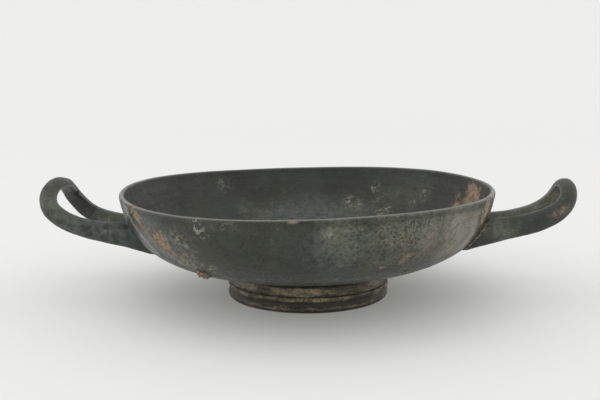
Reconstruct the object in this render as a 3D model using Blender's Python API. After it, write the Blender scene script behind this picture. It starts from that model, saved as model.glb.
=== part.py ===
# Low stemless drinking cup of black-slipped clay: a shallow turned bowl on a moulded ring foot,
# with two pulled loop handles that rise outwards and turn up.
# Metres, +Z up, +X along the handles. The origin is the centre of the foot on the surface
# that the cup stands on. Bowl, foot and handles were fired as one, so they are one solid.
import math
import bpy
import bmesh
from mathutils import Matrix, Vector

NODE_NAME = "kylix_cup"
MM = 0.001

# Bowl
RIM_RADIUS = 92.5 * MM
RIM_HEIGHT = 53.3 * MM
LIP_THICKNESS = 2.6 * MM
WALL_THICKNESS = 3.3 * MM
BOWL_BASE_THICKNESS = 3.9 * MM
FLOOR_THICKNESS = 6.0 * MM
# The outer wall falls steeply from the lip and runs out nearly level over the foot
WALL_ANGLE_AT_LIP = math.radians(75.8)
WALL_ANGLE_AT_FOOT = math.radians(6.3)
LIP_PULL = 0.40
FOOT_PULL = 0.85
# Shares of the way down the wall: where it reaches its full thickness below the lip, and where
# it starts to thicken again towards the foot
LIP_TAPER = 0.22
BASE_TAPER_START = 0.5

# Foot, from the resting surface up
FOOT_RADIUS = 39.7 * MM
FOOT_RING_WIDTH = 6.2 * MM
FOOT_EDGE_ROUND = 1.0 * MM
FOOT_BASE_HEIGHT = 1.7 * MM
FOOT_STEP_HEIGHT = 0.8 * MM
FOOT_HOLLOW_HEIGHT = 2.9 * MM
FOOT_ROLL_HEIGHT = 1.9 * MM
FOOT_GROOVE_WIDTH = 0.6 * MM
FOOT_BAND_HEIGHT = 4.3 * MM
FOOT_SHOULDER_HEIGHT = 1.5 * MM
FOOT_STEP_SWELL = 0.3 * MM
FOOT_HOLLOW_DEPTH = 0.5 * MM
FOOT_ROLL_SWELL = 0.3 * MM
FOOT_GROOVE_DEPTH = 0.5 * MM
FOOT_BAND_FLARE = 0.5 * MM
FOOT_SHOULDER_INSET = 1.8 * MM
# Underside of the foot: a sloping inner face, a round corner and a slight boss in the middle
RECESS_SLOPE = 2.0 * MM
RECESS_CORNER = 2.4 * MM
BOSS_RADIUS = 9.0 * MM
BOSS_DROP = 0.7 * MM
BOSS_ROUNDING = 0.7

# The bowl was set on its foot a little out of level, and its lip waves in and out of true
LEAN_ALONG_HANDLES = 0.0102
LEAN_FRONT_TO_BACK = -0.0073
LIP_WAVE_TWO = 0.50 * MM
LIP_WAVE_THREE = 0.45 * MM
LIP_WAVE_BEARING = math.radians(160)
# Rise above the foot over which the lean comes in
LEAN_RISE = 5.0 * MM

# Handles: one rounded strap each, thick where it meets the bowl. Lengths are along the arm,
# spreads are from the middle of the loop to the middle of an arm, projections are beyond the
# lip and drops are below it.
HANDLE_WIDTH_MID = 7.0 * MM
HANDLE_WIDTH_ROOT = 8.4 * MM
# The side of the strap that faces the finger is shallower than the outer side, and nearly flat
# between two arrises: a lower power makes it flatter
HANDLE_INNER_SHARE = 0.85
HANDLE_INNER_POWER = 0.4
HANDLE_ROOT_BURIAL = 18.0 * MM
# Shares of the way from the bowl to the top of the loop: where the root's flare ends, where
# the strap starts to thin, and where the arm turns into the bend
HANDLE_FLARE_END = 0.45
HANDLE_THINNING_START = 0.35
HANDLE_ARM_END = 0.55
HANDLES = (
    {
        "side": -1,
        "projection": 37.8 * MM,
        "root_drop": 22.6 * MM,
        "arm_length": 63.1 * MM,
        "root_spread": 25.7 * MM,
        "tip_spread": 25.1 * MM,
        "bend_length": 15.6 * MM,
        "rise_angle": math.radians(5.6),
        "tip_angle": math.radians(92.0),
        "curl": 3.3,
        "swing": math.radians(-1.6),
        "roll": math.radians(-5.5),
        "height_root": 14.8 * MM,
        "height_mid": 9.4 * MM,
        "height_tip": 8.4 * MM,
    },
    {
        "side": 1,
        "projection": 38.7 * MM,
        "root_drop": 21.7 * MM,
        "arm_length": 62.3 * MM,
        "root_spread": 27.8 * MM,
        "tip_spread": 20.1 * MM,
        "bend_length": 18.2 * MM,
        "rise_angle": math.radians(6.6),
        "tip_angle": math.radians(85.6),
        "curl": 3.5,
        "swing": math.radians(-1.4),
        "roll": math.radians(-7.3),
        "height_root": 14.7 * MM,
        "height_mid": 10.2 * MM,
        "height_tip": 7.7 * MM,
    },
)

# Fineness of the faceted solid
TURNED_SIDES = 64
WALL_STEPS = 13
LIP_STEPS = 6
FLOOR_STEPS = 3
CORNER_STEPS = 3
ARM_STEPS = 10
BEND_STEPS = 6
SECTION_SIDES = 12
HOLLOW_SHARES = (0.15, 0.5, 0.85)
ROLL_SHARES = (0.0, 0.5, 1.0)
SLOPE_STEPS = 200
MERGE_DISTANCE = 0.01 * MM
CORE_HEADROOM = 20.0 * MM
SHARP_ANGLE = math.radians(40)


def smooth_step(share):
    share = min(max(share, 0.0), 1.0)
    return share * share * (3 - 2 * share)


def arc(centre, radius, start, end, steps):
    """Points of a circular arc in the turning plane, both ends included."""
    angles = [start + (end - start) * step / steps for step in range(steps + 1)]
    return [Vector((centre[0] + radius * math.cos(a), centre[1] + radius * math.sin(a))) for a in angles]


def foot_height():
    return (
        FOOT_BASE_HEIGHT + FOOT_STEP_HEIGHT + FOOT_HOLLOW_HEIGHT + FOOT_ROLL_HEIGHT
        + FOOT_GROOVE_WIDTH + FOOT_BAND_HEIGHT + FOOT_SHOULDER_HEIGHT
    )


def lip_arc():
    """The lip's half round, from the outer wall over the top to the inner wall."""
    radius = LIP_THICKNESS / 2
    centre = (RIM_RADIUS - radius, RIM_HEIGHT - radius)
    start = WALL_ANGLE_AT_LIP - math.pi / 2
    return arc(centre, radius, start, start + math.pi, LIP_STEPS)


def outer_wall():
    """Outer wall from the lip to the foot, as (point, unit normal) pairs on one cubic curve."""
    top = lip_arc()[0]
    bottom = Vector((FOOT_RADIUS - FOOT_SHOULDER_INSET, foot_height()))
    lip_pull = LIP_PULL * (top.y - bottom.y)
    foot_pull = FOOT_PULL * (top.x - bottom.x)
    lip_handle = top - lip_pull * Vector((math.cos(WALL_ANGLE_AT_LIP), math.sin(WALL_ANGLE_AT_LIP)))
    foot_handle = bottom + foot_pull * Vector((math.cos(WALL_ANGLE_AT_FOOT), math.sin(WALL_ANGLE_AT_FOOT)))
    wall = []
    for step in range(WALL_STEPS + 1):
        t = step / WALL_STEPS
        s = 1 - t
        point = s**3 * top + 3 * s * s * t * lip_handle + 3 * s * t * t * foot_handle + t**3 * bottom
        along = s * s * (lip_handle - top) + t * t * (bottom - foot_handle)
        along += 2 * s * t * (foot_handle - lip_handle)
        along.normalize()
        wall.append((point, Vector((-along.y, along.x))))
    return wall


def wall_thickness(share):
    """Thickness at a share of the way from the lip to the foot."""
    body = LIP_THICKNESS + (WALL_THICKNESS - LIP_THICKNESS) * smooth_step(share / LIP_TAPER)
    to_base = smooth_step((share - BASE_TAPER_START) / (1 - BASE_TAPER_START))
    return body + (BOWL_BASE_THICKNESS - WALL_THICKNESS) * to_base


def inner_wall():
    """Inner face of the bowl, from just under the lip to the middle of the floor."""
    wall = outer_wall()
    points = []
    for step, (point, normal) in enumerate(wall):
        points.append(point - normal * wall_thickness(step / WALL_STEPS))
    edge = points[-1]
    before = points[-2]
    slope = (before.y - edge.y) / (before.x - edge.x)
    for step in range(1, FLOOR_STEPS + 1):
        share = 1 - step / FLOOR_STEPS
        drop = slope * edge.x / 2 * (1 - share * share)
        points.append(Vector((edge.x * share, edge.y - drop)))
    return points


def foot_side():
    """Mouldings of the foot, from its bottom edge up to where the bowl begins."""
    edge_centre = (FOOT_RADIUS - FOOT_EDGE_ROUND, FOOT_EDGE_ROUND)
    points = arc(edge_centre, FOOT_EDGE_ROUND, -math.pi / 2, 0, CORNER_STEPS)
    height = FOOT_BASE_HEIGHT
    points.append(Vector((FOOT_RADIUS, height)))
    points.append(Vector((FOOT_RADIUS + FOOT_STEP_SWELL, height + FOOT_STEP_HEIGHT / 2)))
    height += FOOT_STEP_HEIGHT
    points.append(Vector((FOOT_RADIUS, height)))
    for share in HOLLOW_SHARES:
        depth = FOOT_HOLLOW_DEPTH * math.sqrt(math.sin(math.pi * share))
        points.append(Vector((FOOT_RADIUS - depth, height + FOOT_HOLLOW_HEIGHT * share)))
    height += FOOT_HOLLOW_HEIGHT
    for share in ROLL_SHARES:
        swell = FOOT_ROLL_SWELL * math.sin(math.pi * share)
        points.append(Vector((FOOT_RADIUS + swell, height + FOOT_ROLL_HEIGHT * share)))
    height += FOOT_ROLL_HEIGHT
    points.append(Vector((FOOT_RADIUS - FOOT_GROOVE_DEPTH, height + FOOT_GROOVE_WIDTH / 2)))
    height += FOOT_GROOVE_WIDTH
    points.append(Vector((FOOT_RADIUS, height)))
    height += FOOT_BAND_HEIGHT
    points.append(Vector((FOOT_RADIUS + FOOT_BAND_FLARE, height - FOOT_EDGE_ROUND)))
    points.append(Vector((FOOT_RADIUS + FOOT_BAND_FLARE / 2, height)))
    return points


def underside(floor_height):
    """Recess under the foot, from its middle out to the resting ring."""
    ceiling = floor_height - FLOOR_THICKNESS
    ring_inner = FOOT_RADIUS - FOOT_RING_WIDTH
    corner = (ring_inner - RECESS_SLOPE - RECESS_CORNER, ceiling - RECESS_CORNER)
    points = [Vector((0, ceiling - BOSS_DROP))]
    points.append(Vector((BOSS_RADIUS / 2, ceiling - BOSS_DROP * BOSS_ROUNDING)))
    points.append(Vector((BOSS_RADIUS, ceiling)))
    points += arc(corner, RECESS_CORNER, math.pi / 2, 0, CORNER_STEPS)
    points.append(Vector((ring_inner, 0)))
    return points


def cup_profile():
    """The whole turned outline, from the middle of the underside round to the middle of the floor."""
    inside = inner_wall()
    outside = [point for point, normal in reversed(outer_wall())]
    return underside(inside[-1].y) + foot_side() + outside + lip_arc()[1:-1] + inside


def turn(name, profile):
    """Solid of revolution of an outline that starts and ends on the axis."""
    mesh = bpy.data.meshes.new(name)
    bm = bmesh.new()
    verts = [bm.verts.new((point.x, 0, point.y)) for point in profile]
    edges = [bm.edges.new(pair) for pair in zip(verts, verts[1:])]
    bmesh.ops.spin(
        bm, geom=verts + edges, cent=(0, 0, 0), axis=(0, 0, 1),
        angle=2 * math.pi, steps=TURNED_SIDES, use_merge=True,
    )
    bmesh.ops.remove_doubles(bm, verts=bm.verts, dist=MERGE_DISTANCE)
    bmesh.ops.recalc_face_normals(bm, faces=bm.faces)
    bm.to_mesh(mesh)
    bm.free()
    return bpy.data.objects.new(name, mesh)


def out_of_true(obj):
    """Lean the bowl on its foot and let its lip wave, as a hand-turned one does."""
    start = foot_height() - FOOT_SHOULDER_HEIGHT
    for vertex in obj.data.vertices:
        x, y, z = vertex.co
        lean = (LEAN_ALONG_HANDLES * x + LEAN_FRONT_TO_BACK * y) * smooth_step((z - start) / LEAN_RISE)
        bearing = math.atan2(y, x) - LIP_WAVE_BEARING
        wave = LIP_WAVE_TWO * math.cos(2 * bearing) + LIP_WAVE_THREE * math.cos(3 * bearing)
        rise = smooth_step((z - start) / (RIM_HEIGHT - start))
        vertex.co.z += lean + wave * rise


def arm_line(handle):
    """Stations along half a handle, from the bowl to the top of the loop.

    Each is (distance out, height, spread, sheet angle, share of the way)."""
    length = handle["arm_length"]
    straight = length - handle["bend_length"]
    plan = []
    for step in range(ARM_STEPS + 1):
        part = step / ARM_STEPS
        spread = handle["root_spread"] + (handle["tip_spread"] - handle["root_spread"]) * part
        plan.append((straight * part, spread, HANDLE_ARM_END * part))
    for step in range(1, BEND_STEPS + 1):
        part = step / BEND_STEPS
        along = straight + handle["bend_length"] * math.sin(math.pi / 2 * part)
        spread = handle["tip_spread"] * math.cos(math.pi / 2 * part)
        plan.append((along, spread, HANDLE_ARM_END + (1 - HANDLE_ARM_END) * part))
    stations = []
    out = 0.0
    height = root_height(handle)
    covered = 0.0
    fine_step = length / SLOPE_STEPS
    for distance, spread, share in plan:
        while covered < distance - fine_step / 2:
            angle = sheet_angle(handle, covered + fine_step / 2)
            out += fine_step * math.cos(angle)
            height += fine_step * math.sin(angle)
            covered += fine_step
        stations.append((out, height, spread, sheet_angle(handle, distance), share))
    return stations


def root_height(handle):
    return RIM_HEIGHT - handle["root_drop"]


def sheet_angle(handle, distance):
    """Slope of the handle at a distance along its arm: level at first, then turning up."""
    turned = (distance / handle["arm_length"]) ** handle["curl"]
    return handle["rise_angle"] + (handle["tip_angle"] - handle["rise_angle"]) * turned


def handle_rings(handle):
    """Centre, upward normal, crosswise direction and half sizes of each section round the loop."""
    half = arm_line(handle)
    reach = half[-1][0] + handle["height_tip"] / 2
    start = RIM_RADIUS + handle["projection"] - reach
    centres = []
    normals = []
    shares = []
    root_slope = Vector((math.cos(handle["rise_angle"]), 0, math.sin(handle["rise_angle"])))
    buried = root_slope * HANDLE_ROOT_BURIAL
    for out, height, spread, angle, share in half:
        centres.append(Vector((start + out, -spread, height)))
        normals.append(Vector((-math.sin(angle), 0, math.cos(angle))))
        shares.append(share)
    back = [Vector((c.x, -c.y, c.z)) for c in reversed(centres[:-1])]
    centres = [centres[0] - buried] + centres + back + [back[-1] - buried]
    normals = [normals[0]] + normals + normals[-2::-1] + [normals[0]]
    shares = [0.0] + shares + shares[-2::-1] + [0.0]
    rings = []
    for index, (centre, normal, share) in enumerate(zip(centres, normals, shares)):
        before = centres[max(index - 1, 0)]
        after = centres[min(index + 1, len(centres) - 1)]
        tangent = (after - before).normalized()
        up = (normal - tangent * normal.dot(tangent)).normalized()
        across = tangent.cross(up)
        flare = max(1 - share / HANDLE_FLARE_END, 0.0) ** 2
        to_tip = smooth_step((share - HANDLE_THINNING_START) / (1 - HANDLE_THINNING_START))
        tall = handle["height_mid"] + (handle["height_root"] - handle["height_mid"]) * flare
        tall += (handle["height_tip"] - handle["height_mid"]) * to_tip
        wide = HANDLE_WIDTH_MID + (HANDLE_WIDTH_ROOT - HANDLE_WIDTH_MID) * flare
        rings.append((centre, up, across, tall / 2, wide / 2))
    return rings


def handle_placement(handle):
    """Roll about the arm, mirror to its own side and swing round the cup's axis."""
    pivot = Matrix.Translation((0, 0, root_height(handle)))
    roll = pivot @ Matrix.Rotation(handle["roll"], 4, "X") @ pivot.inverted()
    side = Matrix.Scale(handle["side"], 4, Vector((1, 0, 0)))
    return Matrix.Rotation(handle["swing"], 4, "Z") @ side @ roll


def pull_handle(name, handle):
    """One loop handle as a closed strap, swept ring by ring."""
    bm = bmesh.new()
    last_edges = None
    placement = handle_placement(handle)
    rings = handle_rings(handle)
    for index, (centre, up, across, half_tall, half_wide) in enumerate(rings):
        at_end = index in (0, len(rings) - 1)
        ring = bmesh.ops.create_circle(bm, cap_ends=at_end, segments=SECTION_SIDES, radius=1)["verts"]
        for vertex in ring:
            sideways = vertex.co.x
            if sideways < 0:
                sideways = -HANDLE_INNER_SHARE * abs(sideways) ** HANDLE_INNER_POWER
            offset = across * sideways * half_wide + up * vertex.co.y * half_tall
            vertex.co = placement @ (centre + offset)
        edges = list({edge for vertex in ring for edge in vertex.link_edges})
        if last_edges:
            bmesh.ops.bridge_loops(bm, edges=last_edges + edges)
        last_edges = edges
    bmesh.ops.recalc_face_normals(bm, faces=bm.faces)
    mesh = bpy.data.meshes.new(name)
    bm.to_mesh(mesh)
    bm.free()
    return bpy.data.objects.new(name, mesh)


def bowl_core():
    """Everything inside the middle of the bowl's wall, which trims the handles' buried ends."""
    profile = []
    for step, (point, normal) in enumerate(outer_wall()):
        profile.append(point - normal * wall_thickness(step / WALL_STEPS) / 2)
    above = RIM_HEIGHT + CORE_HEADROOM
    bottom = Vector((0, profile[-1].y))
    top_edge = Vector((profile[0].x, above))
    return turn("bowl_core", [bottom] + profile[::-1] + [top_edge, Vector((0, above))])


def as_guide(obj):
    """Keep a helper out of the finished model."""
    obj.hide_render = True
    obj.display_type = "WIRE"


def boolean(obj, operation, other):
    modifier = obj.modifiers.new(operation.lower() + "_" + other.name, "BOOLEAN")
    modifier.operation = operation
    modifier.solver = "EXACT"
    modifier.object = other


def worn_black_slip():
    material = bpy.data.materials.new("worn_black_slip")
    material.use_nodes = True
    shader = material.node_tree.nodes["Principled BSDF"]
    shader.inputs["Base Color"].default_value = (0.055, 0.062, 0.055, 1)
    shader.inputs["Roughness"].default_value = 0.42
    shader.inputs["Metallic"].default_value = 0.0
    return material


def main():
    for old in list(bpy.data.objects):
        bpy.data.objects.remove(old, do_unlink=True)
    collection = bpy.context.scene.collection
    cup = turn(NODE_NAME, cup_profile())
    out_of_true(cup)
    core = bowl_core()
    out_of_true(core)
    collection.objects.link(cup)
    collection.objects.link(core)
    as_guide(core)
    cup.data.materials.append(worn_black_slip())
    for handle in HANDLES:
        name = "left_handle_blank" if handle["side"] < 0 else "right_handle_blank"
        blank = pull_handle(name, handle)
        collection.objects.link(blank)
        as_guide(blank)
        boolean(blank, "DIFFERENCE", core)
        boolean(cup, "UNION", blank)
    cup.data.shade_smooth()
    cup.data.set_sharp_from_angle(angle=SHARP_ANGLE)


main()
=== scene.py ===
import math
import bpy
import bmesh
import numpy as np
from mathutils import Matrix, Vector, noise
from mathutils.kdtree import KDTree


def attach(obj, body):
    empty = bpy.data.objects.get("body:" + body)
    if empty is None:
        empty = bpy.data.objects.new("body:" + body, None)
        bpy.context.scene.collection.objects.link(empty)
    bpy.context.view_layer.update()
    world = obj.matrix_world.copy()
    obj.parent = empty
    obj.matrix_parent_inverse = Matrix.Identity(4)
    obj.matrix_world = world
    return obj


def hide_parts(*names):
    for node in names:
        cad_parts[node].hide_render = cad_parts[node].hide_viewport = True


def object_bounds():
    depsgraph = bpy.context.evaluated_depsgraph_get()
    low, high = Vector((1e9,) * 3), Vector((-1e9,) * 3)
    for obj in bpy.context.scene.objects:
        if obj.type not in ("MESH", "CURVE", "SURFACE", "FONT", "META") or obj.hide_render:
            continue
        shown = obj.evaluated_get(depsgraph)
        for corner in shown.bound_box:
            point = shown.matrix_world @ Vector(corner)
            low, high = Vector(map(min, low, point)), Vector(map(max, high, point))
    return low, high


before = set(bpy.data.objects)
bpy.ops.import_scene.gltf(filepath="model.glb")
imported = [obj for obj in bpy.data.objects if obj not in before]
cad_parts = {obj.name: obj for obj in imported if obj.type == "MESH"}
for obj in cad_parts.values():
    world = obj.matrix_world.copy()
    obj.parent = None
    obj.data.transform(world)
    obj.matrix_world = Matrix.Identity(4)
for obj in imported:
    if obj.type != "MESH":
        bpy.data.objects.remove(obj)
cadLow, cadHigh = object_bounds()
print("frame loaded")

# The cup is modelled in millimetres and brought to metres when it is finished.
# Bearings are in degrees about the cup's axis: 0 is the right handle, -90 faces the camera.
mm = 0.001

bowl = {
    "rimRadius": 92.5,
    "rimHeight": 53.3,
    "lipThickness": 2.6,
    "wall": 3.3,
    "baseWall": 3.9,
    "floor": 6.0,
    "angleAtLip": 78.7,
    "angleAtFoot": 6.85,
    "lipPull": 0.523,  # shares of the wall's height and reach
    "footPull": 0.72,
    "lipTaper": 0.22,
    "baseTaperStart": 0.5,
    "leanAlongHandles": 0.0087,
    "leanFrontToBack": -0.0073,
    "leanRise": 5.0,
    "waveTwo": 0.50,
    "waveThree": 0.60,
    "waveBearing": 165.7,
    "rightFlattening": 1.77,
    "rimShift": 0.48,
    "turnedSides": 320,
    "wallSteps": 54,
    "lipSteps": 10,
    "floorSteps": 22,
    "weld": 0.01,
}

foot = {
    "radius": 39.7,
    "ringWidth": 6.2,
    "edgeRound": 1.0,
    "baseHeight": 1.7,
    "stepHeight": 0.8,
    "hollowHeight": 2.9,
    "rollHeight": 1.9,
    "grooveWidth": 0.6,
    "bandHeight": 4.3,
    "shoulderHeight": 1.5,
    "stepSwell": 0.3,
    "hollowDepth": 0.5,
    "rollSwell": 0.3,
    "grooveDepth": 0.5,
    "bandFlare": 0.5,
    "shoulderInset": 1.8,
    "recessSlope": 2.0,
    "recessCorner": 2.4,
    "bossRadius": 9.0,
    "bossDrop": 0.7,
    "bandSteps": 6,
    "cornerSteps": 5,
    "bossSteps": 7,
    "recessSteps": 12,
    "slopeSteps": 5,
}

footLayers = (
    "baseHeight", "stepHeight", "hollowHeight", "rollHeight", "grooveWidth", "bandHeight", "shoulderHeight",
)

strap = {
    "widthMid": 7.0,
    "widthRoot": 8.4,
    "widthTip": 4.6,
    "innerShare": 0.85,  # the side towards the finger, nearly flat between two arrises
    "innerPower": 0.4,
    "rootBurial": 18.0,
    "flareEnd": 0.45,
    "thinningStart": 0.35,
    "flatteningStart": 0.70,
    "armEnd": 0.55,
    "armSteps": 44,
    "bendSteps": 26,
    "sectionSides": 28,
    "slopeSteps": 400,
    "coreAbove": 20,  # how far the trimming core reaches above the lip
    "joinWeld": 0.02,
}

handles = (
    {
        "side": -1,
        "projection": 36.7,
        "rootDrop": 23.7,
        "armLength": 63.6,
        "rootSpread": 26.15,
        "tipSpread": 25.3,
        "bendLength": 14.9,
        "rise": 7.1,
        "tip": 105.5,
        "curl": 3.95,
        "swing": -2.4,
        "roll": -6.2,
        "heightRoot": 14.8,
        "heightMid": 8.8,
        "heightTip": 7.6,
    },
    {
        "side": 1,
        "projection": 37.8,
        "rootDrop": 21.9,
        "armLength": 61.9,
        "rootSpread": 27.8,
        "tipSpread": 18.55,
        "bendLength": 19.6,
        "rise": 7.8,
        "tip": 93.7,
        "curl": 4.3,
        "swing": -1.5,
        "roll": -7.1,
        "heightRoot": 14.7,
        "heightMid": 9.9,
        "heightTip": 7.3,
    },
)

zones = ("outside", "inside", "foot", "handle")
zoneLimits = {"underShoulder": 0.5, "pastFoot": 1, "facingUp": 0.3, "inFromRim": 8}


def smoothStep(share):
    share = min(max(share, 0.0), 1.0)
    return share * share * (3 - 2 * share)


def arcPoints(centre, radius, start, end, steps):
    turns = [start + (end - start) * step / steps for step in range(steps + 1)]
    return [Vector((centre[0] + radius * math.cos(a), centre[1] + radius * math.sin(a))) for a in turns]


def footHeight():
    return sum(foot[layer] for layer in footLayers)


def lipPoints():
    radius = bowl["lipThickness"] / 2
    centre = (bowl["rimRadius"] - radius, bowl["rimHeight"] - radius)
    start = math.radians(bowl["angleAtLip"]) - math.pi / 2
    return arcPoints(centre, radius, start, start + math.pi, bowl["lipSteps"])


# The outer wall is one cubic curve from the lip to the foot, as (point, unit normal, share) rows
def outerWall():
    lipAngle = math.radians(bowl["angleAtLip"])
    footAngle = math.radians(bowl["angleAtFoot"])
    top = lipPoints()[0]
    bottom = Vector((foot["radius"] - foot["shoulderInset"], footHeight()))
    lipWay = Vector((math.cos(lipAngle), math.sin(lipAngle)))
    footWay = Vector((math.cos(footAngle), math.sin(footAngle)))
    lipEnd = top - bowl["lipPull"] * (top.y - bottom.y) * lipWay
    footEnd = bottom + bowl["footPull"] * (top.x - bottom.x) * footWay
    wall = []
    for step in range(bowl["wallSteps"] + 1):
        t = step / bowl["wallSteps"]
        s = 1 - t
        point = s**3 * top + 3 * s * s * t * lipEnd + 3 * s * t * t * footEnd + t**3 * bottom
        along = s * s * (lipEnd - top) + 2 * s * t * (footEnd - lipEnd) + t * t * (bottom - footEnd)
        along.normalize()
        wall.append((point, Vector((-along.y, along.x)), t))
    return wall


def wallThickness(share):
    lip, wall, base = bowl["lipThickness"], bowl["wall"], bowl["baseWall"]
    start = bowl["baseTaperStart"]
    body = lip + (wall - lip) * smoothStep(share / bowl["lipTaper"])
    return body + (base - wall) * smoothStep((share - start) / (1 - start))


def innerWall():
    points = [point - normal * wallThickness(share) for point, normal, share in outerWall()]
    edge = points[-1]
    slope = (points[-3].y - edge.y) / (points[-3].x - edge.x)
    for step in range(1, bowl["floorSteps"] + 1):
        share = 1 - step / bowl["floorSteps"]
        points.append(Vector((edge.x * share, edge.y - slope * edge.x / 2 * (1 - share * share))))
    return points


# Mouldings of the foot from its bottom edge up: step, hollow, roll, groove and flaring band
def footPoints():
    radius = foot["radius"]
    edge = foot["edgeRound"]
    points = arcPoints((radius - edge, edge), edge, -math.pi / 2, 0, foot["cornerSteps"])
    height = foot["baseHeight"]
    # Rows of (height, swell, how pointed the swell is, steps)
    mouldings = (
        ("stepHeight", foot["stepSwell"], 1.0, 5),
        ("hollowHeight", -foot["hollowDepth"], 0.5, 11),
        ("rollHeight", foot["rollSwell"], 1.0, 7),
        ("grooveWidth", -foot["grooveDepth"], 1.0, 4),
    )
    for name, depth, power, steps in mouldings:
        for step in range(steps):
            share = step / steps
            swell = depth * math.sin(math.pi * share) ** power
            points.append(Vector((radius + swell, height + foot[name] * share)))
        height += foot[name]
    for step in range(foot["bandSteps"] + 1):
        share = step / foot["bandSteps"]
        rise = (foot["bandHeight"] - edge) * share
        points.append(Vector((radius + foot["bandFlare"] * share, height + rise)))
    # Rounded top edge of the band and the slope up to the wall
    height += foot["bandHeight"]
    points.append(Vector((radius + foot["bandFlare"] * 0.86, height - edge * 0.45)))
    points.append(Vector((radius + foot["bandFlare"] * 0.5, height)))
    points.append(Vector((radius - foot["shoulderInset"] * 0.45, height + foot["shoulderHeight"] * 0.4)))
    return points


# Recess under the foot, from the boss in its middle out to the resting ring
def undersidePoints(floorHeight):
    ceiling = floorHeight - bowl["floor"]
    boss = foot["bossRadius"]
    ringInner = foot["radius"] - foot["ringWidth"]
    corner = (ringInner - foot["recessSlope"] - foot["recessCorner"], ceiling - foot["recessCorner"])
    points = []
    for step in range(foot["bossSteps"] + 1):
        share = step / foot["bossSteps"]
        points.append(Vector((boss * share, ceiling - foot["bossDrop"] * (1 - smoothStep(share)))))
    for step in range(1, foot["recessSteps"]):
        points.append(Vector((boss + (corner[0] - boss) * step / foot["recessSteps"], ceiling)))
    bend = arcPoints(corner, foot["recessCorner"], math.pi / 2, 0, foot["cornerSteps"])
    ringEdge = Vector((ringInner, 0))
    steps = foot["slopeSteps"]
    slope = [bend[-1].lerp(ringEdge, step / steps) for step in range(1, steps + 1)]
    return points + bend + slope


def cupOutline():
    inside = innerWall()
    outside = [point for point, normal, share in reversed(outerWall())]
    return undersidePoints(inside[-1].y) + footPoints() + outside + lipPoints()[1:-1] + inside


def turned(outline):
    bm = bmesh.new()
    verts = [bm.verts.new((point.x, 0, point.y)) for point in outline]
    edges = [bm.edges.new(pair) for pair in zip(verts, verts[1:])]
    bmesh.ops.spin(
        bm, geom=verts + edges, cent=(0, 0, 0), axis=(0, 0, 1),
        angle=2 * math.pi, steps=bowl["turnedSides"], use_merge=True,
    )
    bmesh.ops.remove_doubles(bm, verts=bm.verts, dist=bowl["weld"])
    bmesh.ops.recalc_face_normals(bm, faces=bm.faces)
    return bm


def lipWave(bearing):
    turned = bearing - math.radians(bowl["waveBearing"])
    return bowl["waveTwo"] * math.cos(2 * turned) + bowl["waveThree"] * math.cos(3 * turned)


# The bowl leans a little on its foot, its lip waves, and its wall is flatter towards the right handle
def outOfTrue(bm):
    start = footHeight() - foot["shoulderHeight"]
    for vert in bm.verts:
        x, y, z = vert.co
        bearing = math.atan2(y, x)
        lean = bowl["leanAlongHandles"] * x + bowl["leanFrontToBack"] * y
        upTheWall = smoothStep((z - start) / (bowl["rimHeight"] - start))
        vert.co.z += lean * smoothStep((z - start) / bowl["leanRise"]) + lipWave(bearing) * upTheWall
        towardsRight = max(math.cos(bearing), 0) ** 2
        pressed = bowl["rightFlattening"] / bowl["rimRadius"] * towardsRight * upTheWall
        vert.co.x = x * (1 - pressed) + bowl["rimShift"] * upTheWall
        vert.co.y *= 1 - pressed


# Each face keeps the number of its zone as a material until the cup is finished
def markZones(bm):
    for face in bm.faces:
        centre = face.calc_center_median()
        outward = face.normal.x * centre.x + face.normal.y * centre.y
        reach = math.hypot(centre.x, centre.y)
        underShoulder = centre.z < footHeight() - zoneLimits["underShoulder"]
        facingUp = face.normal.z > zoneLimits["facingUp"]
        if underShoulder and reach < foot["radius"] + zoneLimits["pastFoot"]:
            face.material_index = zones.index("foot")
        elif outward < 0 or (facingUp and reach < bowl["rimRadius"] - zoneLimits["inFromRim"]):
            face.material_index = zones.index("inside")
        else:
            face.material_index = zones.index("outside")


def sheetAngle(handle, distance):
    turnedUp = (distance / handle["armLength"]) ** handle["curl"]
    return math.radians(handle["rise"] + (handle["tip"] - handle["rise"]) * turnedUp)


# Stations along half a handle, from the bowl to the top of the loop:
# (distance out, height, spread, sheet angle, share of the way)
def armLine(handle):
    straight = handle["armLength"] - handle["bendLength"]
    plan = []
    for step in range(strap["armSteps"] + 1):
        part = step / strap["armSteps"]
        spread = handle["rootSpread"] + (handle["tipSpread"] - handle["rootSpread"]) * part
        plan.append((straight * part, spread, strap["armEnd"] * part))
    for step in range(1, strap["bendSteps"] + 1):
        part = step / strap["bendSteps"]
        along = straight + handle["bendLength"] * math.sin(math.pi / 2 * part)
        spread = handle["tipSpread"] * math.cos(math.pi / 2 * part)
        plan.append((along, spread, strap["armEnd"] + (1 - strap["armEnd"]) * part))
    stations = []
    out = 0.0
    height = bowl["rimHeight"] - handle["rootDrop"]
    covered = 0.0
    fineStep = handle["armLength"] / strap["slopeSteps"]
    for distance, spread, share in plan:
        while covered < distance - fineStep / 2:
            angle = sheetAngle(handle, covered + fineStep / 2)
            out += fineStep * math.cos(angle)
            height += fineStep * math.sin(angle)
            covered += fineStep
        stations.append((out, height, spread, sheetAngle(handle, distance), share))
    return stations


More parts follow.
